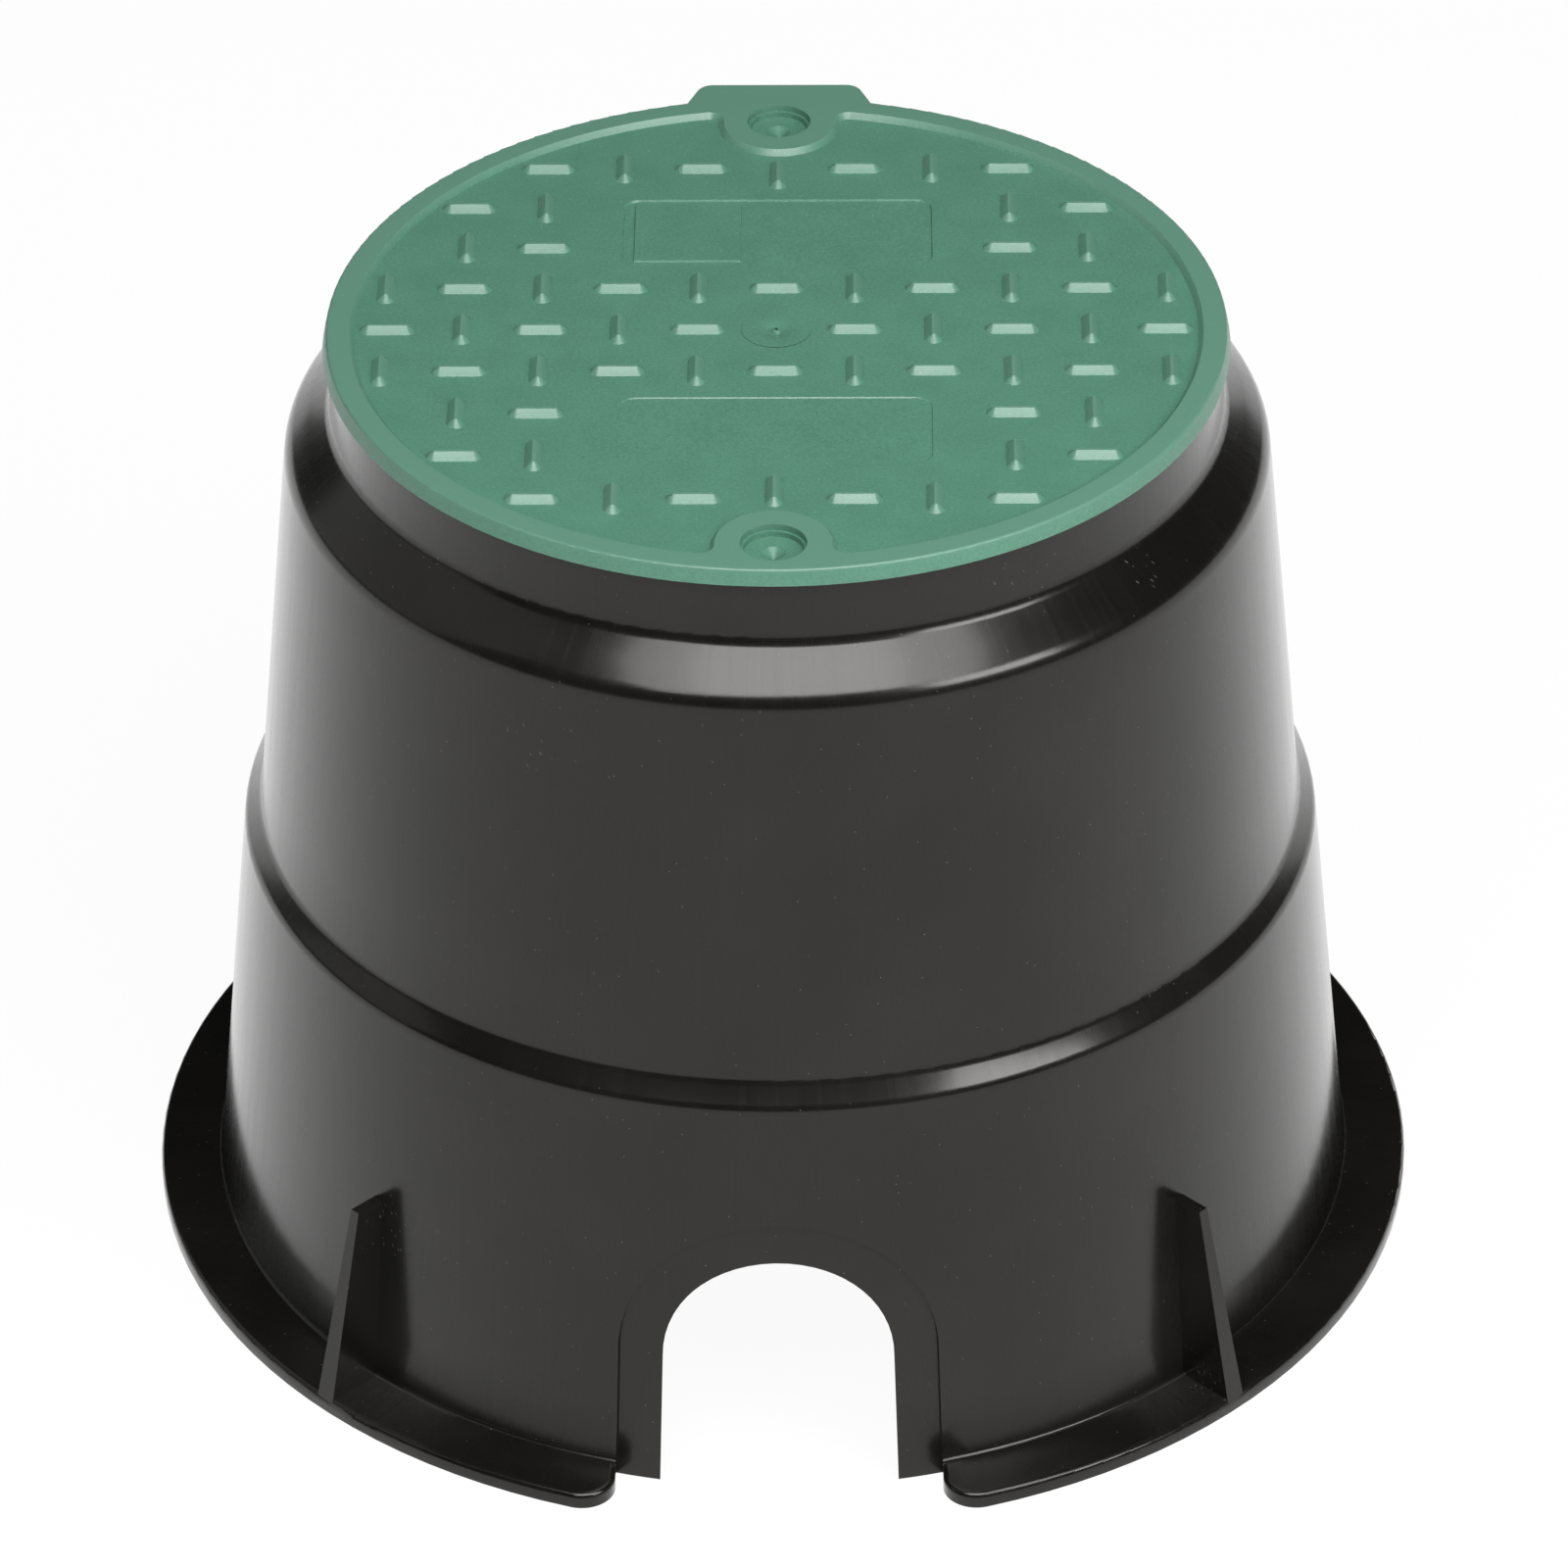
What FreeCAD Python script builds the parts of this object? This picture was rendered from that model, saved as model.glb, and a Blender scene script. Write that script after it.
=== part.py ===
import FreeCAD, Part
import math
import os

# Round irrigation valve box: a tapered moulded body with two pipe arches, and the lid that rests on it.
# Millimetres. Z is up, the origin is the centre of the base, and the pipe arches face -Y and +Y.

# Body wall, outside, from the ground up: each run is the radius lost over its rise
wallThickness = 3.0
footRadius = 151.2
lowerWallRise = 112.4
lowerWallRun = 10.7
stepRise = 5.7
stepRun = 4.5
upperWallRise = 107.1
upperWallRun = 9.9
shoulderRise = 11.0
shoulderRun = 11.9
collarRise = 17.8
collarRun = 0.7
stepEdgeRound = 5.0
stepCreaseRound = 4.5
shoulderRound = 8.0
collarFootRound = 5.0
thinnestRound = 0.4

# Base flange, open in front of each arch
flangeWidth = 15.9
flangeThickness = 4.2
flangeRimRound = 1.6
flangeCornerRound = 8.5
flangeFootRound = 1.2

# Pipe arches, front and back, each with a shallow sunk band round it
archHalfWidth = 29.5
archDraft = 1.1
archTopHeight = 67.0
bandWidth = 11.4
bandDepth = 1.0

# Gussets between the wall and the flange
gussetCount = 4
gussetHeight = 57.4
gussetTopLength = 8.2
gussetTopThickness = 2.7
gussetFootThickness = 5.8

# Screw lugs inside the collar, under the lid's screw pockets
screwSetback = 11.3
lugRadius = 7.0
lugFootRadius = 4.5
lugTaperLength = 9.0
lugDepth = 26.0
lugWebThickness = 6.0
pilotRadius = 2.1
pilotDepth = 15.0
lugGap = 0.3

# Lid rim and plate
lidRimThickness = 3.2
lidRimDepth = 4.3
lidSkirtClearance = 0.5
lidSkirtThickness = 1.5
lidSkirtDraft = 0.9
lidEdgeRound = 0.8
borderWidth = 6.0
fieldDepth = 1.5
fieldSlopeRun = 1.25
fieldThickness = 2.6

# Screw pockets, and the border's lobes round them
lobeRadius = 14.5
lobeFillet = 4.0
pocketRadius = 8.3
pocketStepDepth = 1.7
pocketInnerRadius = 7.5
pocketDepth = 3.1
dimpleRadius = 3.0
dimpleDepth = 2.1
pocketWall = 2.2
pocketFloor = 3.2

# Lift tab at the back of the lid
tabProjection = 7.2
tabRootHalfWidth = 23.4
tabTipHalfWidth = 20.6
tabCornerRound = 4.5
tabWall = 1.6
tabThickness = 3.0

# Locating ring and ribs under the lid
ringClearance = 0.8
ringThickness = 2.2
ringDepth = 8.0
ribThickness = 2.0
ribDepth = 6.5
ribCount = 8
middleRingRadius = 60.0
hubRadius = 14.0
lugNotchClearance = 1.2

# Tread bars on the lid, on a square grid
treadPitch = 20.0
treadColumns = 5
treadRows = 4
treadLength = 14.2
treadHalfWidth = 2.4
treadRidgeHalfWidth = 0.4
treadHeight = 1.7
treadSink = 0.4
treadEdgeMargin = 3.0
rimTreadShift = 1.0
pocketTreadShift = 3.3

# Two sunk panels on the lid, and the pad that stands in the back one
panelCentre = 48.0
panelLength = 80.0
panelWidth = 33.0
panelDepth = 0.4
panelCorner = 4.5
frontPanelLength = 79.0
frontPanelWidth = 31.0
frontPanelDepth = 0.2
padLength = 27.2
padWidth = 27.8
padMargin = 3.2

# Gate mark at the lid's centre: a low disc, a dish in it, and the nib of the gate
gateDiscRadius = 8.9
gateDiscHeight = 0.15
gateDishRadius = 5.0
gateDishDepth = 0.8
gateNibRadius = 1.5
gateNibTopRadius = 0.9
gateNibHeight = 0.8
gateHoleRadius = 0.45

# Places that follow from the sizes above
stepEdgeRadius = footRadius - lowerWallRun
stepCreaseRadius = stepEdgeRadius - stepRun
shoulderRadius = stepCreaseRadius - upperWallRun
collarFootRadius = shoulderRadius - shoulderRun
collarTopRadius = collarFootRadius - collarRun
stepCreaseHeight = lowerWallRise + stepRise
shoulderHeight = stepCreaseHeight + upperWallRise
collarFootHeight = shoulderHeight + shoulderRise
collarTopHeight = collarFootHeight + collarRise
collarInsideRadius = collarTopRadius - wallThickness / math.cos(math.atan2(collarRun, collarRise))
flangeRadius = footRadius + flangeWidth
flangeGapHalfWidth = archHalfWidth + archDraft + bandWidth
screwRadius = collarTopRadius - screwSetback
lidTopHeight = collarTopHeight + lidRimThickness
skirtInsideRadius = collarTopRadius + lidSkirtClearance
lidFootRadius = skirtInsideRadius + lidSkirtThickness
lidTopRadius = lidFootRadius - lidSkirtDraft
rimFootHeight = lidTopHeight - lidRimDepth
fieldRadius = lidTopRadius - borderWidth - fieldSlopeRun
fieldTop = lidTopHeight - fieldDepth
fieldUnderside = fieldTop - fieldThickness
pocketBossFoot = lidTopHeight - pocketDepth - pocketFloor
lugTop = pocketBossFoot - lugGap
ringOuterRadius = collarInsideRadius - ringClearance
ringInnerRadius = ringOuterRadius - ringThickness

overshoot = 1.0
contactTolerance = 0.01
axisZ = FreeCAD.Vector(0, 0, 1)
origin = FreeCAD.Vector(0, 0, 0)


def point(x, y, z=0.0):
    return FreeCAD.Vector(x, y, z)


def cylinder(radius, height, foot=origin):
    return Part.makeCylinder(radius, height, foot)


def bothSides(shape):
    """The shape in front and the same shape at the back."""
    back = shape.copy()
    back.rotate(origin, axisZ, 180)
    return [shape, back]


def roundedOutline(corners):
    """A closed wire through corners of (point, rounding), with a tangent arc at each rounded corner."""
    arcs = []
    for index, (corner, radius) in enumerate(corners):
        if radius <= 0:
            arcs.append((corner, None, corner))
            continue
        toBefore = (corners[index - 1][0] - corner).normalize()
        toAfter = (corners[(index + 1) % len(corners)][0] - corner).normalize()
        halfAngle = toBefore.getAngle(toAfter) / 2
        reach = radius / math.tan(halfAngle)
        bisector = (toBefore + toAfter).normalize()
        middle = corner + bisector * (radius / math.sin(halfAngle) - radius)
        arcs.append((corner + toBefore * reach, middle, corner + toAfter * reach))
    edges = []
    for index, (start, middle, end) in enumerate(arcs):
        if middle is not None:
            edges.append(Part.Arc(start, middle, end).toShape())
        following = arcs[(index + 1) % len(arcs)][0]
        if end.distanceToPoint(following) > contactTolerance / 10:
            edges.append(Part.LineSegment(end, following).toShape())
    return Part.Wire(edges)


def turned(corners):
    """The solid turned about Z from a closed section of (radius, height, rounding) corners."""
    outline = roundedOutline([(point(r, 0, z), rounding) for r, z, rounding in corners])
    return Part.Face(outline).revolve(origin, axisZ, 360)


def wallSection(inset):
    """The wall's section from foot to rim as (radius, height, rounding), moved inwards by inset."""
    outside = [
        (footRadius, 0.0, 0.0),
        (stepEdgeRadius, lowerWallRise, stepEdgeRound),
        (stepCreaseRadius, stepCreaseHeight, stepCreaseRound),
        (shoulderRadius, shoulderHeight, shoulderRound),
        (collarFootRadius, collarFootHeight, collarFootRound),
        (collarTopRadius, collarTopHeight, 0.0),
    ]
    if inset == 0:
        return outside
    lines = []
    for (r0, z0, _), (r1, z1, _) in zip(outside, outside[1:]):
        run = r1 - r0
        rise = z1 - z0
        length = math.hypot(run, rise)
        lines.append((r0 - rise / length * inset, z0 + run / length * inset, run, rise))
    r, z, run, rise = lines[0]
    moved = [(r - z * run / rise, 0.0, 0.0)]
    for (ar, az, aRun, aRise), (br, bz, bRun, bRise), corner in zip(lines, lines[1:], outside[1:]):
        turn = aRun * bRise - aRise * bRun
        along = ((br - ar) * bRise - (bz - az) * bRun) / turn
        rounding = corner[2] - math.copysign(inset, turn)
        moved.append((ar + along * aRun, az + along * aRise, max(rounding, thinnestRound)))
    r, z, run, rise = lines[-1]
    moved.append((r + (collarTopHeight - z) * run / rise, collarTopHeight, 0.0))
    return moved


def lowerWallRadius(height):
    """Outside radius of the wall below the step."""
    return footRadius - lowerWallRun * height / lowerWallRise


def bodyWall():
    return turned(wallSection(0) + wallSection(wallThickness)[::-1])


def wallCore():
    """All that lies inside the middle of the wall's thickness."""
    section = wallSection(wallThickness / 2)
    return turned([(0.0, 0.0, 0.0)] + section + [(0.0, collarTopHeight, 0.0)])


def besideArches(shape):
    """The two halves of a ring, left and right of the gaps in front of the arches."""
    size = flangeRadius + overshoot
    halves = []
    for start in (flangeGapHalfWidth, -flangeGapHalfWidth - size):
        halves.append(shape.common(Part.makeBox(size, 2 * size, size, point(start, -size, 0))))
    return halves


def roundedFlange(half):
    """Rounds one half of the flange: its two corners in plan, then its upper edge."""
    corners = []
    for edge in half.Edges:
        middle = edge.BoundBox.Center
        isUpright = edge.BoundBox.ZLength > flangeThickness / 2
        if isUpright and math.hypot(middle.x, middle.y) > footRadius:
            corners.append(edge)
    half = half.makeFillet(flangeCornerRound, corners)
    upperEdges = []
    for edge in half.Edges:
        isAtTop = edge.BoundBox.ZMin > flangeThickness - contactTolerance
        farthest = max(math.hypot(vertex.X, vertex.Y) for vertex in edge.Vertexes)
        if isAtTop and farthest > footRadius:
            upperEdges.append(edge)
    return half.makeFillet(flangeRimRound, upperEdges)


def flange():
    """The flange's two halves, each with a small fillet along the foot of the wall."""
    inside = footRadius - wallThickness / 2
    ring = cylinder(flangeRadius, flangeThickness).cut(cylinder(inside, flangeThickness))
    top = flangeThickness + flangeFootRound
    fillet = turned([
        (inside, flangeThickness - flangeFootRound, 0.0),
        (lowerWallRadius(flangeThickness) + flangeFootRound, flangeThickness - flangeFootRound, 0.0),
        (lowerWallRadius(flangeThickness) + flangeFootRound, flangeThickness, 0.0),
        (lowerWallRadius(top), top, 0.0),
        (lowerWallRadius(top) - wallThickness / 2, top, 0.0),
    ])
    return [roundedFlange(half) for half in besideArches(ring)] + besideArches(fillet)


def gusset():
    """One drafted rib along +X, from the wall down to the rim of the flange."""
    rimHeight = flangeThickness / 2
    topReach = lowerWallRadius(gussetHeight) + gussetTopLength
    slope = (flangeRadius - topReach) / (gussetHeight - rimHeight)
    draft = (gussetFootThickness - gussetTopThickness) / gussetHeight
    sections = []
    for height in (rimHeight, gussetHeight):
        inner = lowerWallRadius(height) - wallThickness / 2
        outer = topReach + slope * (gussetHeight - height)
        half = (gussetFootThickness - draft * height) / 2
        corners = [point(inner, -half, height), point(outer, -half, height)]
        corners += [point(outer, half, height), point(inner, half, height)]
        sections.append(Part.makePolygon(corners + corners[:1]))
    return Part.makeLoft(sections, True, True)


def gussets():
    """The ribs, set midway between the arches."""
    pitch = 360 / gussetCount
    ribs = []
    for index in range(gussetCount):
        rib = gusset()
        rib.rotate(origin, axisZ, pitch * (index + 0.5))
        ribs.append(rib)
    return ribs


def archPrism(widening):
    """The arch's outline, widened all round, run from inside the box to past the flange in front."""
    front = -flangeRadius - overshoot
    halfWidth = archHalfWidth + widening
    springHeight = archTopHeight - archHalfWidth
    footHalfWidth = halfWidth + archDraft * (springHeight + overshoot) / springHeight
    left = point(-halfWidth, front, springHeight)
    right = point(halfWidth, front, springHeight)
    crown = point(0, front, springHeight + halfWidth)
    corners = [left, point(-footHalfWidth, front, -overshoot), point(footHalfWidth, front, -overshoot), right]
    edges = [Part.Arc(right, crown, left).toShape()]
    for start, end in zip(corners, corners[1:]):
        edges.append(Part.LineSegment(start, end).toShape())
    return Part.Face(Part.Wire(edges)).extrude(point(0, flangeRadius / 2, 0))


def archBand():
    """The skin that the sunk band takes off the wall round the front arch."""
    top = lowerWallRise - stepEdgeRound
    skin = turned([
        (lowerWallRadius(-overshoot) - bandDepth, -overshoot, 0.0),
        (lowerWallRadius(-overshoot) + bandDepth, -overshoot, 0.0),
        (lowerWallRadius(top) + bandDepth, top, 0.0),
        (lowerWallRadius(top) - bandDepth, top, 0.0),
    ])
    return archPrism(bandWidth).common(skin)


def screwLug():
    """A boss for a screw inside the front of the collar, with a tapered foot and a web to the wall."""
    foot = point(0, -screwRadius, lugTop - lugDepth)
    shoulder = foot + point(0, 0, lugTaperLength)
    taper = Part.makeCone(lugFootRadius, lugRadius, lugTaperLength, foot)
    boss = cylinder(lugRadius, lugDepth - lugTaperLength, shoulder)
    web = Part.makeBox(lugWebThickness, footRadius - screwRadius, lugDepth,
                       point(-lugWebThickness / 2, -footRadius, foot.z))
    return boss.multiFuse([taper, web.common(wallCore())])


def pilotHole():
    return cylinder(pilotRadius, pilotDepth + overshoot, point(0, -screwRadius, lugTop - pilotDepth))


def makeBody():
    body = bodyWall().multiFuse(flange() + gussets() + bothSides(screwLug()))
    cutters = bothSides(archBand()) + bothSides(archPrism(0)) + bothSides(pilotHole())
    return body.cut(cutters).removeSplitter()


def lidBlank():
    """Rim, plate and locating ring, turned in one, before the field is sunk."""
    ringFoot = fieldUnderside - ringDepth
    return turned([
        (0.0, fieldUnderside, 0.0),
        (ringInnerRadius, fieldUnderside, 0.0),
        (ringInnerRadius, ringFoot, 0.0),
        (ringOuterRadius, ringFoot, 0.0),
        (ringOuterRadius, collarTopHeight, 0.0),
        (skirtInsideRadius, collarTopHeight, 0.0),
        (skirtInsideRadius, rimFootHeight, 0.0),
        (lidFootRadius, rimFootHeight, 0.0),
        (lidTopRadius, lidTopHeight, lidEdgeRound),
        (0.0, lidTopHeight, 0.0),
    ])


def fieldOutline(inset, height):
    """The field's outline, drawn in by inset: a circle with a rounded bay at each screw pocket."""
    outer = lidTopRadius - borderWidth - inset
    lobe = lobeRadius + inset
    fillet = lobeFillet - inset
    toCentre = outer - fillet
    toLobe = lobe + fillet
    y = (toCentre ** 2 - toLobe ** 2 + screwRadius ** 2) / (2 * screwRadius)
    centre = point(math.sqrt(toCentre ** 2 - y ** 2), y)
    lobeCentre = point(0, screwRadius)
    onCircle = centre * (outer / toCentre)
    onLobe = lobeCentre + (centre - lobeCentre) * (lobe / toLobe)
    outward = (onCircle - centre).normalize() + (onLobe - centre).normalize()
    onFillet = centre + outward.normalize() * fillet
    half = [(onCircle, onFillet, onLobe)]
    half.append((onLobe, point(0, screwRadius - lobe), point(-onLobe.x, onLobe.y)))
    half.append(tuple(point(-p.x, p.y) for p in (onLobe, onFillet, onCircle)))
    half.append((point(-onCircle.x, onCircle.y), point(-outer, 0), point(-onCircle.x, -onCircle.y)))
    edges = []
    for side in (1, -1):
        for arc in half:
            edges.append(Part.Arc(*[point(side * p.x, side * p.y, height) for p in arc]).toShape())
    return Part.Wire(edges)


def fieldCut():
    """The sunk field with its sloped sides, as a solid to take away."""
    low = fieldOutline(fieldSlopeRun, fieldTop)
    high = fieldOutline(-fieldSlopeRun * overshoot / fieldDepth, lidTopHeight + overshoot)
    return Part.makeLoft([low, high], True, True)


def tabBlock(inset, foot, height):
    """The lift tab's plan, drawn in by inset on its free sides, as a block."""
    root = screwRadius
    tip = lidTopRadius + tabProjection - inset
    tipHalf = tabTipHalfWidth - inset
    spread = (tabRootHalfWidth - tabTipHalfWidth) / tabProjection
    rootHalf = tipHalf + spread * (tip - root)
    rounding = max(tabCornerRound - inset, thinnestRound)
    outline = roundedOutline([
        (point(-rootHalf, root, foot), 0.0),
        (point(rootHalf, root, foot), 0.0),
        (point(tipHalf, tip, foot), rounding),
        (point(-tipHalf, tip, foot), rounding),
    ])
    return Part.Face(outline).extrude(point(0, 0, height))


def liftTab():
    """The tab beyond the rim, with its upper edge rounded like the rim's."""
    tab = tabBlock(0.0, rimFootHeight, lidRimDepth)
    upperEdges = []
    for edge in tab.Edges:
        isAtTop = edge.BoundBox.ZMin > lidTopHeight - contactTolerance
        if isAtTop and edge.BoundBox.Center.y > screwRadius + contactTolerance:
            upperEdges.append(edge)
    tab = tab.makeFillet(lidEdgeRound, upperEdges)
    return tab.cut(cylinder(lidTopRadius - overshoot, lidTopHeight + overshoot))


def fingerHollow():
    """The hollow for a finger under the tab, open to the collar."""
    height = lidRimDepth - tabThickness + overshoot
    hollow = tabBlock(tabWall, rimFootHeight - overshoot, height)
    return hollow.cut(cylinder(skirtInsideRadius - lidSkirtClearance / 2, lidTopHeight))


def pocketCut():
    """The front screw pocket: a stepped recess with a cone dimple to start the drill."""
    floor = lidTopHeight - pocketDepth
    upper = cylinder(pocketRadius, pocketStepDepth + overshoot,
                     point(0, -screwRadius, lidTopHeight - pocketStepDepth))
    lower = cylinder(pocketInnerRadius, pocketDepth, point(0, -screwRadius, floor))
    dimple = Part.makeCone(0, dimpleRadius, dimpleDepth, point(0, -screwRadius, floor - dimpleDepth))
    return upper.multiFuse([lower, dimple])


def pocketBoss():
    """Wall and floor of the front pocket under the lid, kept inside the locating ring."""
    boss = cylinder(pocketRadius + pocketWall, fieldTop - pocketBossFoot, point(0, -screwRadius, pocketBossFoot))
    return boss.common(cylinder(ringOuterRadius, lidTopHeight))


def lugNotch():
    """Gap in the locating ring for the front screw lug and its web."""
    foot = fieldUnderside - ringDepth - overshoot
    halfWidth = lugRadius + lugNotchClearance
    inner = -screwRadius + halfWidth
    outer = -ringOuterRadius - overshoot
    return Part.makeBox(2 * halfWidth, inner - outer, pocketBossFoot - foot, point(-halfWidth, outer, foot))


def ribsUnderLid():
    """Radial ribs from the hub to the locating ring, with the hub and a middle ring."""
    foot = fieldUnderside - ribDepth
    height = ribDepth + fieldThickness / 2
    length = ringInnerRadius + ringThickness / 2 - hubRadius
    pitch = 360 / ribCount
    ribs = []
    for index in range(ribCount):
        rib = Part.makeBox(length, ribThickness, height, point(hubRadius, -ribThickness / 2, foot))
        rib.rotate(origin, axisZ, pitch * (index + 0.5))
        ribs.append(rib)
    for radius in (hubRadius, middleRingRadius):
        outer = cylinder(radius + ribThickness / 2, height, point(0, 0, foot))
        ribs.append(outer.cut(cylinder(radius - ribThickness / 2, height, point(0, 0, foot))))
    return ribs


def tread():
    """One bar along X: a ridge with sloped sides and half-cone ends, its foot sunk into the field."""
    slope = (treadHalfWidth - treadRidgeHalfWidth) / treadHeight
    footHalf = treadHalfWidth + slope * treadSink
    foot = fieldTop - treadSink
    ridge = fieldTop + treadHeight
    straight = treadLength - 2 * treadHalfWidth
    corners = [
        point(-straight / 2, -footHalf, foot),
        point(-straight / 2, footHalf, foot),
        point(-straight / 2, treadRidgeHalfWidth, ridge),
        point(-straight / 2, -treadRidgeHalfWidth, ridge),
    ]
    bar = Part.Face(Part.makePolygon(corners + corners[:1])).extrude(point(straight, 0))
    ends = []
    for x in (-straight / 2, straight / 2):
        ends.append(Part.makeCone(footHalf, treadRidgeHalfWidth, ridge - foot, point(x, 0, foot)))
    return bar.multiFuse(ends).removeSplitter()


def treadPlaces():
    """Centre of each bar and whether it lies along Y: the panels, the gate and the rim stay clear."""
    places = []
    for row in range(-treadRows, treadRows + 1):
        for column in range(-treadColumns, treadColumns + 1):
            isGate = row == 0 and column == 0
            isPanel = abs(row) in (2, 3) and abs(column) < 3
            x = column * treadPitch
            y = row * treadPitch
            isOutside = math.hypot(x, y) > fieldRadius - treadEdgeMargin
            if isGate or isPanel or isOutside:
                continue
            if row == 0 and abs(column) == treadColumns:
                x -= math.copysign(rimTreadShift, x)
            if column == 0 and abs(row) == treadRows:
                y -= math.copysign(pocketTreadShift, y)
            places.append((x, y, (row + column) % 2 == 0))
    return places


def treads():
    pattern = tread()
    bars = []
    for x, y, isAlongY in treadPlaces():
        bar = pattern.copy()
        if isAlongY:
            bar.rotate(origin, axisZ, 90)
        bar.translate(point(x, y))
        bars.append(bar)
    return bars


def panelBlock(length, width, depth, y):
    """A rounded rectangle that reaches depth below the field."""
    floor = fieldTop - depth
    corners = []
    for sideX, sideY in ((-1, -1), (1, -1), (1, 1), (-1, 1)):
        corners.append((point(sideX * length / 2, y + sideY * width / 2, floor), panelCorner))
    return Part.Face(roundedOutline(corners)).extrude(point(0, 0, depth + overshoot))


def panelCuts():
    """The two panels; a square pad is left standing at the left of the back one."""
    back = panelBlock(panelLength, panelWidth, panelDepth, panelCentre)
    padCorner = point(padMargin - panelLength / 2, panelCentre - padWidth / 2, fieldTop - panelDepth)
    pad = Part.makeBox(padLength, padWidth, panelDepth + overshoot, padCorner)
    front = panelBlock(frontPanelLength, frontPanelWidth, frontPanelDepth, -panelCentre)
    return [back.cut(pad), front]


def gateMark(lid):
    """Adds the disc, sinks the dish in it and sets the nib of the gate in the dish."""
    discTop = fieldTop + gateDiscHeight
    disc = cylinder(gateDiscRadius, gateDiscHeight + fieldThickness / 2, point(0, 0, fieldTop - fieldThickness / 2))
    ballRadius = (gateDishRadius ** 2 + gateDishDepth ** 2) / (2 * gateDishDepth)
    dish = Part.makeSphere(ballRadius, point(0, 0, discTop - gateDishDepth + ballRadius))
    floor = discTop - gateDishDepth
    nib = Part.makeCone(gateNibRadius, gateNibTopRadius, gateNibHeight + treadSink, point(0, 0, floor - treadSink))
    hole = cylinder(gateHoleRadius, gateNibHeight + overshoot, point(0, 0, floor))
    return lid.fuse(disc).cut(dish).fuse(nib).cut(hole)


def makeLid():
    lid = lidBlank().cut([fieldCut()] + bothSides(lugNotch()))
    lid = lid.multiFuse(bothSides(pocketBoss()) + ribsUnderLid() + [liftTab()])
    lid = lid.cut(bothSides(pocketCut()) + panelCuts() + [fingerHollow()])
    lid = gateMark(lid).multiFuse(treads())
    return lid.removeSplitter()


def save(name, shape):
    print(name, len(shape.Solids), "solid", round(shape.Volume), "mm3, valid", shape.isValid())
    shape.Solids[0].exportStep(os.path.join("parts", name + ".step"))


os.makedirs("parts", exist_ok=True)
save("box_body", makeBody())
save("lid", makeLid())
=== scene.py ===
import bpy
import math
from mathutils import Matrix, Vector


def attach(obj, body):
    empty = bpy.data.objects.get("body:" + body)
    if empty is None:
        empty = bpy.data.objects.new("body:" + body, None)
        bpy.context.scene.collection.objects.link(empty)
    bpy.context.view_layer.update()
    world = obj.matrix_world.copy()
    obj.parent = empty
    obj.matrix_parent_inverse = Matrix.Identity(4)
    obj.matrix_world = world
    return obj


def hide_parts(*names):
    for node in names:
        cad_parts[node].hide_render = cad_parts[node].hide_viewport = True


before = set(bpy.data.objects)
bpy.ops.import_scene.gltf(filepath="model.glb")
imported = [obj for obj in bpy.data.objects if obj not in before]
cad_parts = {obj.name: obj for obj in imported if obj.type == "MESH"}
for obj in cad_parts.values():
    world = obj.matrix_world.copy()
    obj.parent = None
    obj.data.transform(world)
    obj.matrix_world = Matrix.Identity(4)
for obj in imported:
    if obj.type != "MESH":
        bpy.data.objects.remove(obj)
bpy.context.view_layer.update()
mm = 0.001

# Round irrigation valve box: a black moulded body and the green moulded lid that rests on it.

# The camera stands where the photograph was taken from, worked out from the box's own circles
photo = {
    "focalLength": 217.1,      # mm, on a 36 mm sensor, for the square picture
    "sensorWidth": 36.0,
    "distance": 2404.8,        # mm to the middle of the lid
    "lidTop": 256.3,
    "elevation": 34.29,        # degrees above the horizon
    "turn": 0.6,               # degrees round the box
    "roll": -0.453,
    "slideRight": 1.955,       # mm in the picture's own plane
    "slideDown": 116.11,
}

# Soft lamps in a dim room with a white floor: a wide one high in front with a brighter heart, a small one low at
# the right, a faint one at the left. Azimuth is in degrees to the right of the front, lengths are in mm and power
# is in watts.
studio = {
    "lamps": {
        "keyLamp": {"azimuth": 9, "elevation": 62, "distance": 1900, "width": 1950, "height": 950, "power": 34},
        "keyHeart": {"azimuth": 6, "elevation": 63, "distance": 1880, "width": 1050, "height": 850, "power": 8},
        "sideLamp": {"azimuth": 50, "elevation": 36, "distance": 1900, "width": 850, "height": 500, "power": 14.2},
        "fillLamp": {"azimuth": -100, "elevation": 35, "distance": 2200, "width": 2000, "height": 2000, "power": 5},
    },
    "roomGlow": 0.02,
    "floorColour": "#F4F4F4",
    "floorPaper": 0.95,        # share of plain white that the eye and the gloss get from the floor
    "floorSize": 24000.0,
}


def linear(colour):
    # sRGB hex to linear, with alpha
    values = [int(colour[i:i + 2], 16) / 255 for i in (1, 3, 5)]
    return [v / 12.92 if v <= 0.04045 else ((v + 0.055) / 1.055) ** 2.4 for v in values] + [1.0]


def addNode(tree, kind, links=None, **settings):
    # one node with its settings, and its links from other sockets
    node = tree.nodes.new(kind)
    for name, value in settings.items():
        setattr(node, name, value)
    for name, source in (links or {}).items():
        if hasattr(source, "node"):
            tree.links.new(source, node.inputs[name])
        else:
            node.inputs[name].default_value = source
    return node


def newMaterial(name):
    material = bpy.data.materials.new(name)
    material.use_nodes = True
    material.node_tree.nodes.clear()
    return material, material.node_tree


def aimed(azimuth, elevation):
    # unit vector from the box towards a place round it; azimuth 0 is the front, and plus is to the right
    a, e = math.radians(azimuth), math.radians(elevation)
    return Vector((math.sin(a) * math.cos(e), -math.cos(a) * math.cos(e), math.sin(e)))


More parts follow.
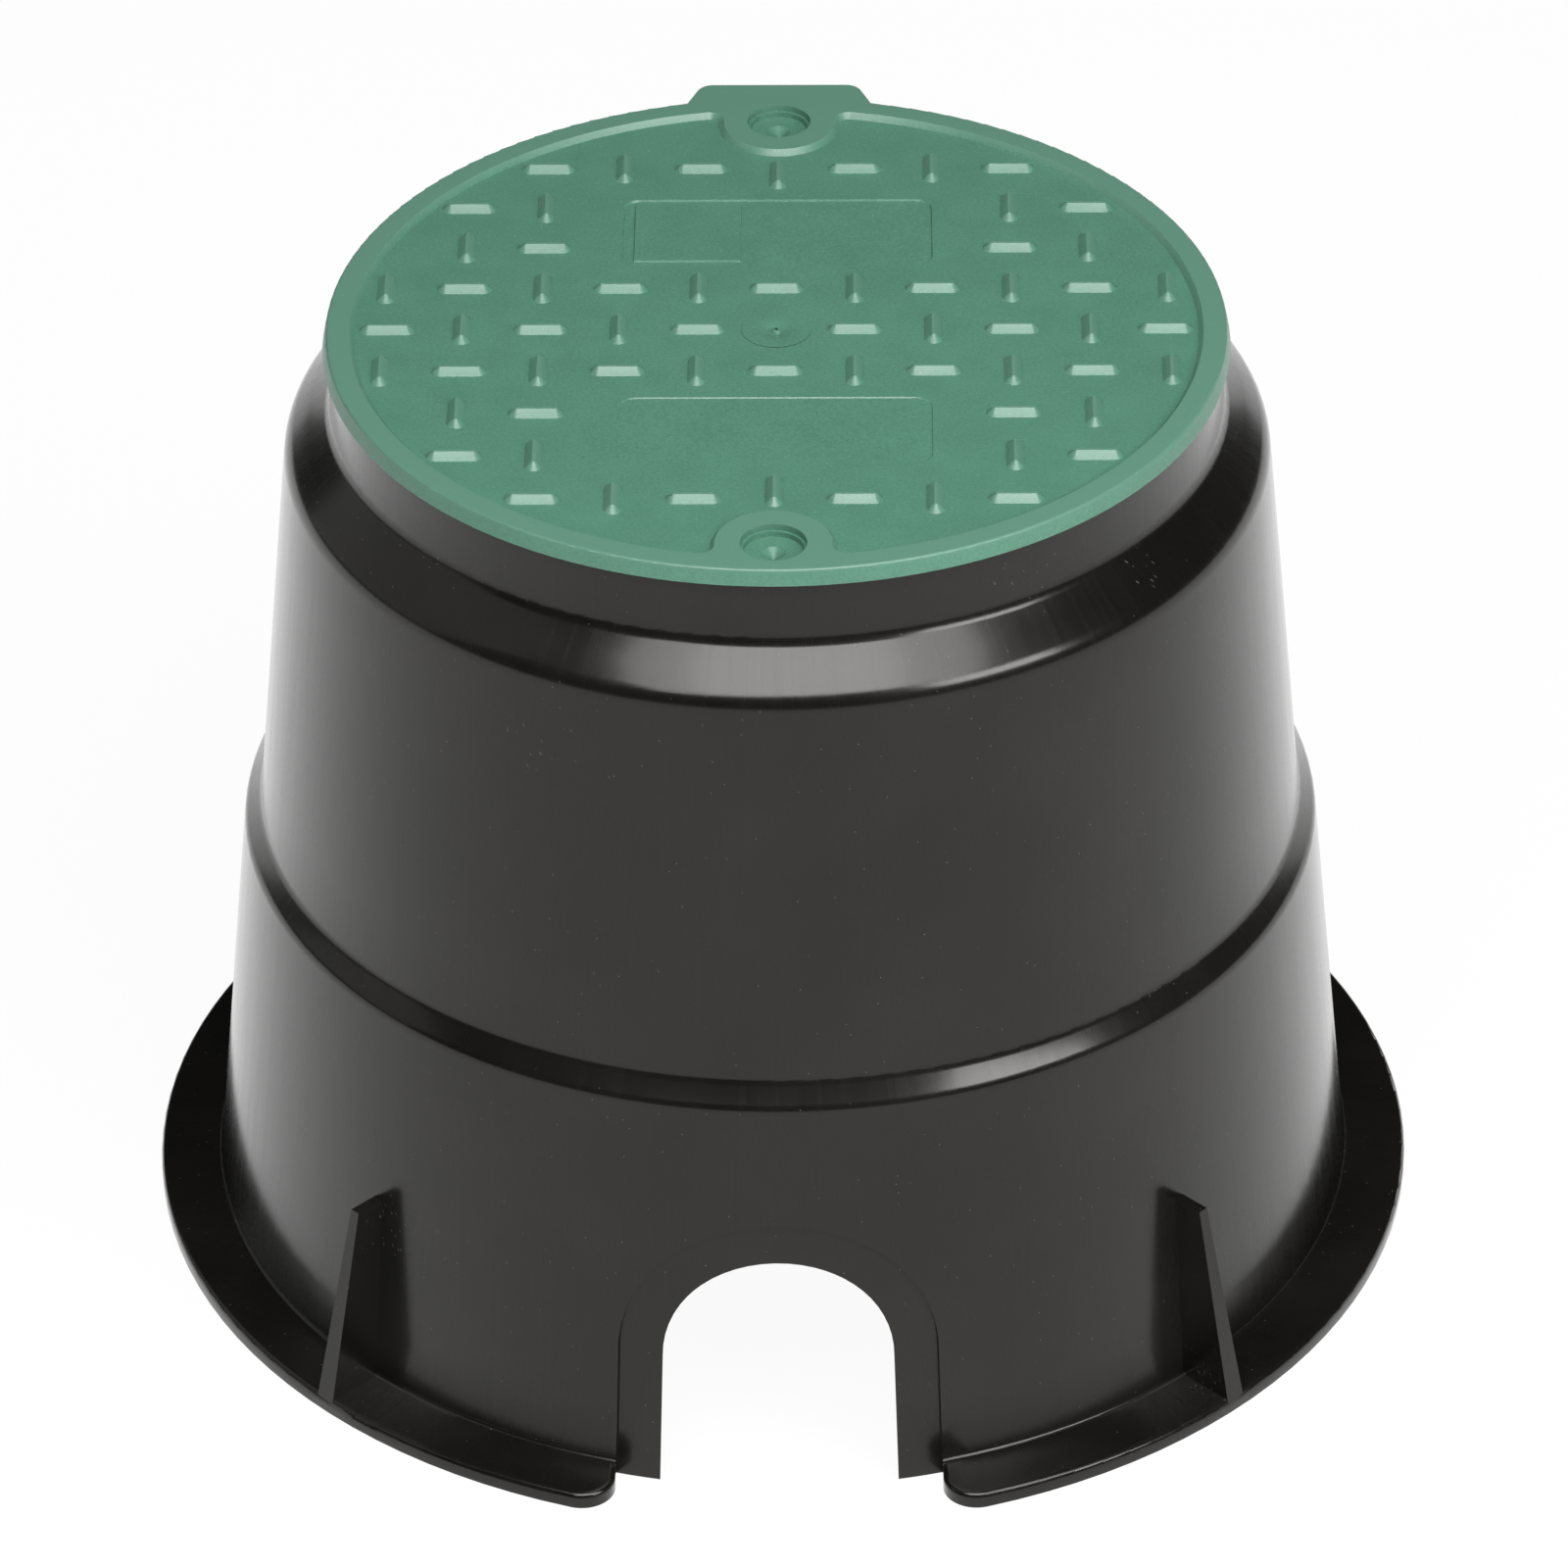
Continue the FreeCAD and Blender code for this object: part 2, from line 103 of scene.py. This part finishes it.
def makeCamera():
    back = aimed(0, photo["elevation"])
    right = Vector((1, 0, 0))
    up = back.cross(right)
    roll = math.radians(photo["roll"])
    rolledRight = right * math.cos(roll) + up * math.sin(roll)
    rolledUp = up * math.cos(roll) - right * math.sin(roll)
    place = Vector((0, 0, photo["lidTop"])) + back * photo["distance"]
    place += rolledRight * photo["slideRight"] - rolledUp * photo["slideDown"]
    turned = Matrix((rolledRight, rolledUp, back)).transposed().to_4x4()
    turned.translation = place * mm
    lens = bpy.data.cameras.new("camera")
    lens.sensor_width = photo["sensorWidth"]
    lens.lens = photo["focalLength"]
    camera = bpy.data.objects.new("camera", lens)
    camera.matrix_world = Matrix.Rotation(math.radians(photo["turn"]), 4, "Z") @ turned
    bpy.context.scene.collection.objects.link(camera)
    bpy.context.scene.camera = camera


def makeLamp(name, look):
    lamp = bpy.data.lights.new(name, "AREA")
    lamp.shape = "RECTANGLE"
    lamp.size = look["width"] * mm
    lamp.size_y = look["height"] * mm
    lamp.energy = look["power"]
    towards = aimed(look["azimuth"], look["elevation"])
    holder = bpy.data.objects.new(name, lamp)
    holder.location = towards * look["distance"] * mm
    holder.rotation_euler = towards.to_track_quat("Z", "Y").to_euler()
    bpy.context.scene.collection.objects.link(holder)


def whiteForTheEye(tree, share):
    # 1 for camera, glossy and see-through rays, times share
    rays = addNode(tree, "ShaderNodeLightPath")
    either = addNode(tree, "ShaderNodeMath", {0: rays.outputs["Is Camera Ray"], 1: rays.outputs["Is Glossy Ray"]},
                     operation="MAXIMUM")
    seen = addNode(tree, "ShaderNodeMath", {0: either.outputs[0], 1: rays.outputs["Is Transmission Ray"]},
                   operation="MAXIMUM")
    return addNode(tree, "ShaderNodeMath", {0: seen.outputs[0], 1: share}, operation="MULTIPLY").outputs[0]


def makeFloor():
    bpy.ops.object.select_all(action="DESELECT")
    bpy.ops.mesh.primitive_plane_add(size=studio["floorSize"] * mm, location=(0, 0, 0))
    floor = bpy.context.object
    floor.name = "floor"
    material, tree = newMaterial("paleStudioPaper")
    paper = addNode(tree, "ShaderNodeBsdfDiffuse", {"Color": linear(studio["floorColour"])})
    glow = addNode(tree, "ShaderNodeEmission", {"Color": linear("#FFFFFF"), "Strength": 1.0})
    share = whiteForTheEye(tree, studio["floorPaper"])
    mix = addNode(tree, "ShaderNodeMixShader", {0: share, 1: paper.outputs[0], 2: glow.outputs[0]})
    addNode(tree, "ShaderNodeOutputMaterial", {"Surface": mix.outputs[0]})
    floor.data.materials.append(material)


def makeWorld():
    world = bpy.data.worlds.new("darkRoom")
    world.use_nodes = True
    tree = world.node_tree
    tree.nodes.clear()
    rays = addNode(tree, "ShaderNodeLightPath")
    room = addNode(tree, "ShaderNodeBackground", {"Color": linear("#FFFFFF"), "Strength": studio["roomGlow"]})
    white = addNode(tree, "ShaderNodeBackground", {"Color": linear("#FFFFFF"), "Strength": 1.0})
    mix = addNode(tree, "ShaderNodeMixShader",
                  {0: rays.outputs["Is Camera Ray"], 1: room.outputs[0], 2: white.outputs[0]})
    addNode(tree, "ShaderNodeOutputWorld", {"Surface": mix.outputs[0]})
    bpy.context.scene.world = world
    bpy.context.scene.view_settings.view_transform = "Standard"


print("stage: camera, lamps and floor")
makeCamera()
for lampName, lampLook in studio["lamps"].items():
    makeLamp(lampName, lampLook)
makeFloor()
makeWorld()


def sized(tree, place, size, turn=(0, 0, 0)):
    # coordinates in which one step is the pattern's real size in mm along each axis, after a turn in degrees
    if not isinstance(size, tuple):
        size = (size, size, size)
    return addNode(tree, "ShaderNodeMapping",
                   {"Vector": place, "Rotation": [math.radians(a) for a in turn], "Scale": [s * mm for s in size]},
                   vector_type="TEXTURE").outputs[0]


def smoothRim(mesh, shape):
    # the rim's rounded top edge has few facets, and is smooth all the same
    facing = {}
    for face in mesh.polygons:
        for edge in face.edge_keys:
            facing.setdefault(edge, []).append(face.normal)
    for edge in mesh.edges:
        ends = [mesh.vertices[v].co for v in edge.vertices]
        sides = facing.get(edge.key, [])
        if len(sides) == 2 and all(math.hypot(end.x, end.y) > shape["rimRadius"] * mm for end in ends):
            if sides[0].angle(sides[1]) < math.radians(shape["rimEdgeAngle"]):
                edge.use_edge_sharp = False


def slopePanels(mesh, shape):
    # the walls of the panels and the pad lean and show as lines, so their foot is drawn in, or out at the pad
    padX, padY, padLength, padWidth = shape["pad"]
    for centre, halfLength, halfWidth, height in shape["panels"]:
        for vertex in mesh.vertices:
            x, y, z = vertex.co / mm
            beyond = abs(x) > halfLength + shape["margin"] or abs(y - centre) > halfWidth + shape["margin"]
            if beyond or abs(z - height) > shape["heightMargin"]:
                continue
            if abs(x - padX) < padLength + shape["margin"] and abs(y - padY) < padWidth + shape["margin"]:
                x += math.copysign(shape["panelSlope"], x - padX)
                y += math.copysign(shape["panelSlope"], y - padY)
            else:
                x *= 1 - shape["panelSlope"] / halfLength
                y = centre + (y - centre) * (1 - shape["panelSlope"] / halfWidth)
            vertex.co = Vector((x, y, z - shape["panelDeeper"])) * mm


def weldedCopy(nodeName, pieceName, shape):
    # the node's own surface with its triangles joined and its flats made whole, so that its curves shade smoothly
    bpy.ops.object.select_all(action="DESELECT")
    piece = bpy.data.objects.new(pieceName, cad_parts[nodeName].data.copy())
    bpy.context.scene.collection.objects.link(piece)
    bpy.context.view_layer.objects.active = piece
    piece.select_set(True)
    bpy.ops.mesh.customdata_custom_splitnormals_clear()
    bpy.ops.object.mode_set(mode="EDIT")
    bpy.ops.mesh.select_all(action="SELECT")
    bpy.ops.mesh.remove_doubles(threshold=shape["weld"] * mm)
    bpy.ops.mesh.dissolve_limited(angle_limit=math.radians(shape["flatAngle"]), use_dissolve_boundaries=False)
    bpy.ops.object.mode_set(mode="OBJECT")
    bpy.ops.object.shade_smooth_by_angle(angle=math.radians(shape["edgeAngle"]))
    if "rimRadius" in shape:
        smoothRim(piece.data, shape)
        slopePanels(piece.data, shape)
    flats = piece.modifiers.new("flatsStayFlat", "WEIGHTED_NORMAL")
    flats.mode = "FACE_AREA"
    flats.weight = shape["flatsWeight"]
    flats.keep_sharp = True
    bpy.ops.object.modifier_apply(modifier=flats.name)
    return piece


def evenRound(piece, shape):
    # one normal for all that lie on one circle round the axis, so that the turned faces shade evenly all the way,
    # and the faces' own normals at the tips of cones
    mesh = piece.data
    normals = [corner.vector.copy() for corner in mesh.corner_normals]
    rings, slivers = {}, {}
    for face in mesh.polygons:
        for corner in face.loop_indices:
            place = mesh.vertices[mesh.loops[corner].vertex_index].co
            if any((place - Vector(tip) * mm).length < shape["ringGrid"] * mm for tip in shape["tips"]):
                normals[corner] = face.normal.copy()
                continue
            outward = Vector((place.x, place.y, 0)).normalized()
            normal = normals[corner]
            isSliver = face.area < shape["sliver"] * mm * mm
            if abs(outward.cross(normal).z) > shape["sideways"] and not isSliver:
                continue
            ring = (round(math.hypot(place.x, place.y) / mm / shape["ringGrid"]),
                    round(place.z / mm / shape["ringGrid"]))
            tilt = math.atan2(normal.z, normal.dot(outward))
            # a larger face counts for more
            weight = face.area ** shape["areaPower"]
            lean, rise = weight * face.normal.dot(outward), weight * face.normal.z
            kept = slivers if isSliver else rings
            kept.setdefault(ring, []).append((tilt, corner, outward, lean, rise))
    for circle, ring in rings.items():
        if len(ring) < shape["ringCorners"]:
            continue
        settled = []
        ring.sort(key=lambda entry: entry[0])
        group = []
        for entry, following in zip(ring, ring[1:] + [None]):
            group.append(entry)
            if following is None or following[0] - entry[0] > math.radians(shape["ringGap"]):
                lean = sum(member[3] for member in group)
                rise = sum(member[4] for member in group)
                settled.append(math.atan2(rise, lean))
                for tilt, corner, outward, *_ in group:
                    normals[corner] = (outward * lean + Vector((0, 0, rise))).normalized()
                group = []
        # a sliver has no good normal of its own, and takes the nearest one of its circle
        for tilt, corner, outward, *_ in slivers.get(circle, []):
            nearest = min(settled, key=lambda known: abs(known - tilt))
            normals[corner] = outward * math.cos(nearest) + Vector((0, 0, math.sin(nearest)))
    mesh.normals_split_custom_set([tuple(normal) for normal in normals])


def dress(piece, node, material):
    piece.data.materials.clear()
    piece.data.materials.append(material)
    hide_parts(node)
    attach(piece, "root")


# How both mouldings are welded and shaded. Angles in degrees, lengths in mm.
moulded = {
    "weld": 0.002,
    "flatAngle": 0.05,
    "flatsWeight": 50,
    "ringGrid": 0.037,             # corners this close count as one circle
    "ringCorners": 40,             # and a circle has at least so many
    "ringGap": 20,                 # between the tilts of two groups of faces that meet at a circle
    "sideways": 0.15,              # how far a normal may lean along its circle
    "sliver": 0.5,                 # mm2; a face below this may lean more
    # The root keeps the line at the collar's foot even, but a dark streak is left on the lower wall at azimuth 90.
    # A try with the square had no streak but a jagged line.
    "areaPower": 0.5,
}

# The body, one moulding
bodyShape = {
    **moulded,
    "edgeAngle": 50,
    "tips": [],
}

# Polypropylene with carbon black, injection moulded in a mould that was ground and polished along its draft. It is
# nearly black and slightly warm, with a satin gloss that is faintly streaked up and down, a little dust, and scuffs.
blackPlastic = {
    "colour": "#100F0E",
    "hazeColour": "#171614",       # faint bloom, in clouds
    "hazeSize": 40.0,
    "hazeDetail": 3.0,
    "hazeRange": (0.4, 0.7),       # of the noise, from no haze to full haze
    "roughness": (0.23, 0.29),     # polished and ground streaks
    "glossRange": (0.3, 0.7),
    "ior": 1.305,                  # with the bloom on it, as glossy as the plastic's own 1.49
    "gleam": "#FFFBF4",
    "bloom": 1.0,                  # slip wax that has bloomed on the skin: a thin clear film with a sharper gloss
    "bloomRoughness": 0.16,
    "bloomIor": 1.305,
    "wallRadius": 125.0,           # the streaks are measured round this circle
    "streakSize": (1.8, 1.8, 60.0),
    "streakDetail": 2.0,
    "streakDepth": 0.0025,
    "fineStreakSize": (0.45, 0.45, 14.0),
    "fineStreakDepth": 0.0006,
    "peelSize": 2.6,               # the slight ripple of a moulded skin
    "peelDepth": 0.002,
    "fineDetail": 1.0,             # of the fine streaks and of the ripple
    "dustColour": "#6A6764",
    "dustSpacing": 3.4,
    "dustRadius": 0.18,            # real dust is finer, and is drawn at two pixels so that it shows
    "dustFade": 0.6,               # share of the radius within which a speck is at its strongest
    "dustStrength": 0.8,
    "scuffColour": "#4A4745",
    "strokeSize": (5.0, 1.5, 1.5), # room for one stroke; the stroke is a quarter of it
    "strokeTurn": (0, 52, 0),
    "strokeShare": 0.18,
    "strokeFade": 0.5,
    "patchFade": 0.6,
    "scuffs": [                    # x, y, z and radius
        (-60.8, -112.5, 204.9, 9.0),
        (57.7, -98.2, 243.3, 6.0),
        (90.5, -76.4, 232.5, 7.0),
        (66.8, -92.0, 250.0, 2.0),
        (-100.5, -106.7, 49.8, 9.0),
        (112.0, -112.0, 6.0, 8.0),
    ],
    "scuffRoughness": 0.5,
}


def makeBlackPlastic(look):
    material, tree = newMaterial("blackMouldedPolypropylene")
    place = addNode(tree, "ShaderNodeTexCoord").outputs["Object"]

    # streaks up and down the draft: a place round the wall, with its height
    flat = addNode(tree, "ShaderNodeVectorMath", {0: place, 1: (1, 1, 0)}, operation="MULTIPLY")
    outward = addNode(tree, "ShaderNodeVectorMath", {0: flat.outputs[0]}, operation="NORMALIZE")
    around = addNode(tree, "ShaderNodeVectorMath", {0: outward.outputs[0], "Scale": look["wallRadius"] * mm},
                     operation="SCALE")
    height = addNode(tree, "ShaderNodeVectorMath", {0: place, 1: (0, 0, 1)}, operation="MULTIPLY")
    draft = addNode(tree, "ShaderNodeVectorMath", {0: around.outputs[0], 1: height.outputs[0]}).outputs[0]
    streak = addNode(tree, "ShaderNodeTexNoise",
                     {"Vector": sized(tree, draft, look["streakSize"]), "Scale": 1.0,
                      "Detail": look["streakDetail"]}).outputs[0]
    fineStreak = addNode(tree, "ShaderNodeTexNoise",
                         {"Vector": sized(tree, draft, look["fineStreakSize"]), "Scale": 1.0,
                          "Detail": look["fineDetail"]}).outputs[0]
    peel = addNode(tree, "ShaderNodeTexNoise",
                   {"Vector": sized(tree, place, look["peelSize"]), "Scale": 1.0,
                    "Detail": look["fineDetail"]}).outputs[0]

    haze = addNode(tree, "ShaderNodeTexNoise",
                   {"Vector": sized(tree, place, look["hazeSize"]), "Scale": 1.0,
                    "Detail": look["hazeDetail"]}).outputs[0]
    hazeShare = addNode(tree, "ShaderNodeMapRange",
                        {"Value": haze, "From Min": look["hazeRange"][0], "From Max": look["hazeRange"][1]})
    skin = addNode(tree, "ShaderNodeMix", {0: hazeShare.outputs[0], 6: linear(look["colour"]),
                                           7: linear(look["hazeColour"])}, data_type="RGBA").outputs[2]

    # dust: a round speck at the middle of each cell that the surface meets
    dust = addNode(tree, "ShaderNodeTexVoronoi",
                   {"Vector": sized(tree, place, look["dustSpacing"]), "Scale": 1.0}).outputs["Distance"]
    speckEdge = look["dustRadius"] / look["dustSpacing"]
    dustShare = addNode(tree, "ShaderNodeMapRange",
                        {"Value": dust, "From Min": speckEdge, "From Max": speckEdge * look["dustFade"],
                         "To Max": look["dustStrength"]}).outputs[0]

    # scuffs: short strokes, only near the places where the real one is scuffed
    strokes = addNode(tree, "ShaderNodeTexVoronoi",
                      {"Vector": sized(tree, place, look["strokeSize"], look["strokeTurn"]),
                       "Scale": 1.0}).outputs["Distance"]
    strokeShare = addNode(tree, "ShaderNodeMapRange",
                          {"Value": strokes, "From Min": look["strokeShare"],
                           "From Max": look["strokeShare"] * look["strokeFade"]})
    near = None
    for x, y, z, radius in look["scuffs"]:
        away = addNode(tree, "ShaderNodeVectorMath", {0: place, 1: (x * mm, y * mm, z * mm)}, operation="DISTANCE")
        patch = addNode(tree, "ShaderNodeMapRange",
                        {"Value": away.outputs["Value"], "From Min": radius * mm,
                         "From Max": radius * look["patchFade"] * mm})
        if near is None:
            near = patch.outputs[0]
        else:
            near = addNode(tree, "ShaderNodeMath", {0: near, 1: patch.outputs[0]}, operation="MAXIMUM").outputs[0]
    scuffShare = addNode(tree, "ShaderNodeMath", {0: strokeShare.outputs[0], 1: near}, operation="MULTIPLY").outputs[0]

    scuffed = addNode(tree, "ShaderNodeMix", {0: scuffShare, 6: skin, 7: linear(look["scuffColour"])},
                      data_type="RGBA").outputs[2]
    colour = addNode(tree, "ShaderNodeMix", {0: dustShare, 6: scuffed, 7: linear(look["dustColour"])},
                     data_type="RGBA").outputs[2]
    gloss = addNode(tree, "ShaderNodeMapRange",
                    {"Value": streak, "From Min": look["glossRange"][0], "From Max": look["glossRange"][1],
                     "To Min": look["roughness"][0], "To Max": look["roughness"][1]}).outputs[0]
    dull = addNode(tree, "ShaderNodeMath", {0: scuffShare, 1: dustShare}, operation="MAXIMUM").outputs[0]
    roughness = addNode(tree, "ShaderNodeMix", {0: dull, 2: gloss, 3: look["scuffRoughness"]}).outputs[0]

    normal = None
    for reading, depth in ((peel, look["peelDepth"]), (streak, look["streakDepth"]),
                           (fineStreak, look["fineStreakDepth"])):
        links = {"Height": reading, "Distance": depth * mm}
        if normal is not None:
            links["Normal"] = normal
        normal = addNode(tree, "ShaderNodeBump", links).outputs[0]
    plastic = addNode(tree, "ShaderNodeBsdfPrincipled",
                      {"Base Color": colour, "Roughness": roughness, "IOR": look["ior"], "Normal": normal,
                       "Specular Tint": linear(look["gleam"]), "Coat Weight": look["bloom"],
                       "Coat Roughness": look["bloomRoughness"], "Coat IOR": look["bloomIor"]})
    addNode(tree, "ShaderNodeOutputMaterial", {"Surface": plastic.outputs[0]})
    return material


print("stage: body")
bodyMoulding = weldedCopy("box_body", "bodyMoulding", bodyShape)
evenRound(bodyMoulding, bodyShape)
dress(bodyMoulding, "box_body", makeBlackPlastic(blackPlastic))


# The lid, one moulding
lidShape = {
    **moulded,
    "edgeAngle": 30,
    "tips": [(0, -102.2, 252.0), (0, 102.2, 252.0)],       # of the two screw dimples
    "rimRadius": 112.5,            # from here out the rim's rounded edge is smooth, whatever its angle
    "rimEdgeAngle": 50,
    "panels": [                    # the sunk panels' floors: centre's y, half length, half width and height
        (48.0, 40.0, 16.5, 255.3),
        (-48.0, 39.5, 15.5, 255.5),
    ],
    "pad": (-23.2, 48.0, 13.6, 13.9),      # the square pad in the back panel: centre, half length and half width
    "panelDeeper": 0.05,           # how far the floors go down, and how far the walls lean
    "panelSlope": 0.28,
    "margin": 0.1,                 # how far off a corner of a floor may lie, along it and in height
    "heightMargin": 0.02,
}

# Polypropylene with a green pigment, moulded in a spark-eroded mould: satin, with a fine even grain, slightly
# cloudy, and paler where the raised faces are rubbed
greenPlastic = {
    "darkColour": "#4A7663",
    "lightColour": "#54836F",
    "rubbedColour": "#598371",
    "rubbedFrom": 255.9,           # height at which the rubbed faces begin, and where they are fully pale
    "rubbedTo": 257.1,
    "cloudSize": 12.0,
    "detail": 2.0,                 # of the clouds and of the grain
    "cloudShare": 0.25,            # of the clouds in the mottle; the rest is grain
    "mottleRange": (0.35, 0.65),   # of the mottle, from dark to light
    "grainSize": 0.75,             # real spark grain is about 0.1; it is drawn as coarse as it shows
    "grainDepth": 0.014,
    "roughness": (0.30, 0.38),
    "glossRange": (0.3, 0.7),
    "ior": 1.5,
    "speckColour": "#A9CBBD",
    "speckSpacing": 2.6,
    "speckRadius": 0.13,
    "speckFade": 0.6,
    "speckStrength": 0.7,
}


def makeGreenPlastic(look):
    material, tree = newMaterial("greenMouldedPolypropylene")
    place = addNode(tree, "ShaderNodeTexCoord").outputs["Object"]
    grain = addNode(tree, "ShaderNodeTexNoise",
                    {"Vector": sized(tree, place, look["grainSize"]), "Scale": 1.0,
                     "Detail": look["detail"]}).outputs[0]
    cloud = addNode(tree, "ShaderNodeTexNoise",
                    {"Vector": sized(tree, place, look["cloudSize"]), "Scale": 1.0,
                     "Detail": look["detail"]}).outputs[0]
    mottle = addNode(tree, "ShaderNodeMix", {0: look["cloudShare"], 2: grain, 3: cloud}).outputs[0]
    mottleShare = addNode(tree, "ShaderNodeMapRange",
                          {"Value": mottle, "From Min": look["mottleRange"][0], "From Max": look["mottleRange"][1]})
    skin = addNode(tree, "ShaderNodeMix", {0: mottleShare.outputs[0], 6: linear(look["darkColour"]),
                                           7: linear(look["lightColour"])}, data_type="RGBA").outputs[2]

    # paler by height
    height = addNode(tree, "ShaderNodeSeparateXYZ", {0: place}).outputs["Z"]
    rubbedShare = addNode(tree, "ShaderNodeMapRange",
                          {"Value": height, "From Min": look["rubbedFrom"] * mm, "From Max": look["rubbedTo"] * mm})
    rubbed = addNode(tree, "ShaderNodeMix", {0: rubbedShare.outputs[0], 6: skin, 7: linear(look["rubbedColour"])},
                     data_type="RGBA").outputs[2]

    # a few tiny light specks of grit
    speck = addNode(tree, "ShaderNodeTexVoronoi",
                    {"Vector": sized(tree, place, look["speckSpacing"]), "Scale": 1.0}).outputs["Distance"]
    speckEdge = look["speckRadius"] / look["speckSpacing"]
    speckShare = addNode(tree, "ShaderNodeMapRange",
                         {"Value": speck, "From Min": speckEdge, "From Max": speckEdge * look["speckFade"],
                          "To Max": look["speckStrength"]})
    colour = addNode(tree, "ShaderNodeMix", {0: speckShare.outputs[0], 6: rubbed, 7: linear(look["speckColour"])},
                     data_type="RGBA").outputs[2]

    roughness = addNode(tree, "ShaderNodeMapRange",
                        {"Value": cloud, "From Min": look["glossRange"][0], "From Max": look["glossRange"][1],
                         "To Min": look["roughness"][0], "To Max": look["roughness"][1]}).outputs[0]
    normal = addNode(tree, "ShaderNodeBump", {"Height": grain, "Distance": look["grainDepth"] * mm}).outputs[0]
    plastic = addNode(tree, "ShaderNodeBsdfPrincipled",
                      {"Base Color": colour, "Roughness": roughness, "IOR": look["ior"], "Normal": normal})
    addNode(tree, "ShaderNodeOutputMaterial", {"Surface": plastic.outputs[0]})
    return material


print("stage: lid")
lidMoulding = weldedCopy("lid", "lidMoulding", lidShape)
evenRound(lidMoulding, lidShape)
dress(lidMoulding, "lid", makeGreenPlastic(greenPlastic))
